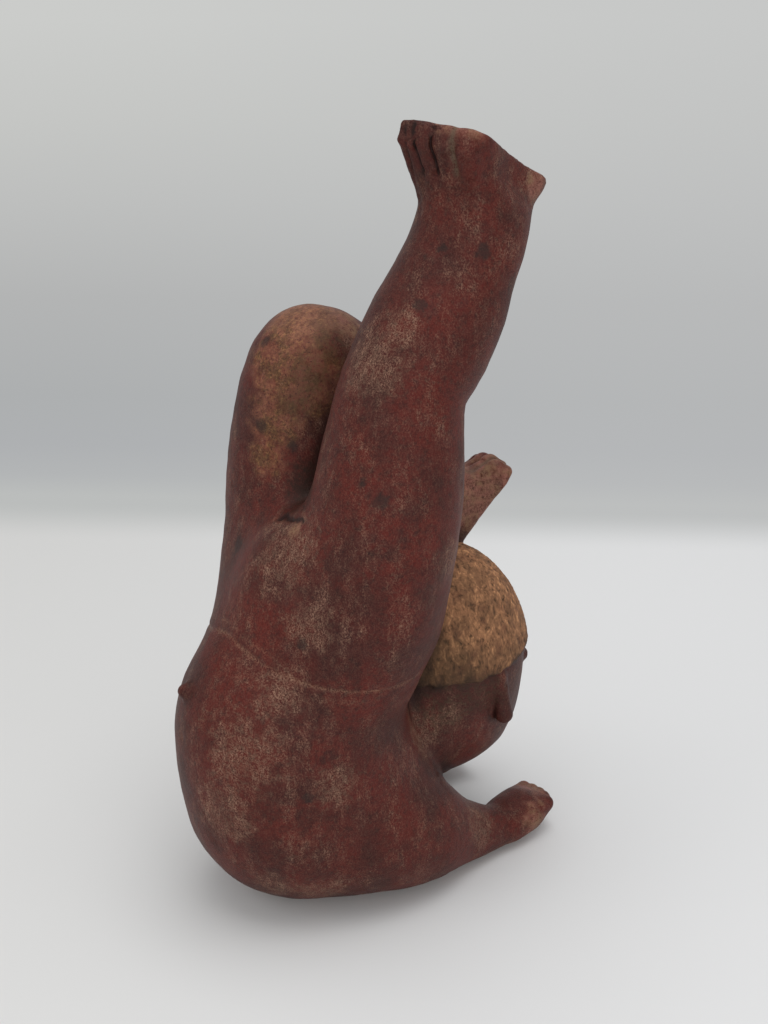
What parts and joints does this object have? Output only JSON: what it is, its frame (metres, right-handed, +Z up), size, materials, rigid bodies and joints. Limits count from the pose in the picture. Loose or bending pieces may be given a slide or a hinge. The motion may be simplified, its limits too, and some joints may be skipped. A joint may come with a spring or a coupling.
{
  "type": "clay acrobat figure",
  "caption": "Burnished red pottery figure of an acrobat: it rests on its chest, back arched, with one leg straight up and the other foot set on its own head.",
  "frame": {"origin": "on the ground, in the middle of the flat rest spot under the chest", "axes": "+Z up; +X the way the face looks and the arms reach; +Y the figure's left, the side of the bent leg"},
  "size_m": [0.1539, 0.1079, 0.281],
  "materials": {
    "slipped_clay": "dark red slip, burnished by hand, worn through to tan clay in patches"
  },
  "bodies": {
    "root": {"acrobat_figure": "slipped_clay"}
  },
  "joints": []
}
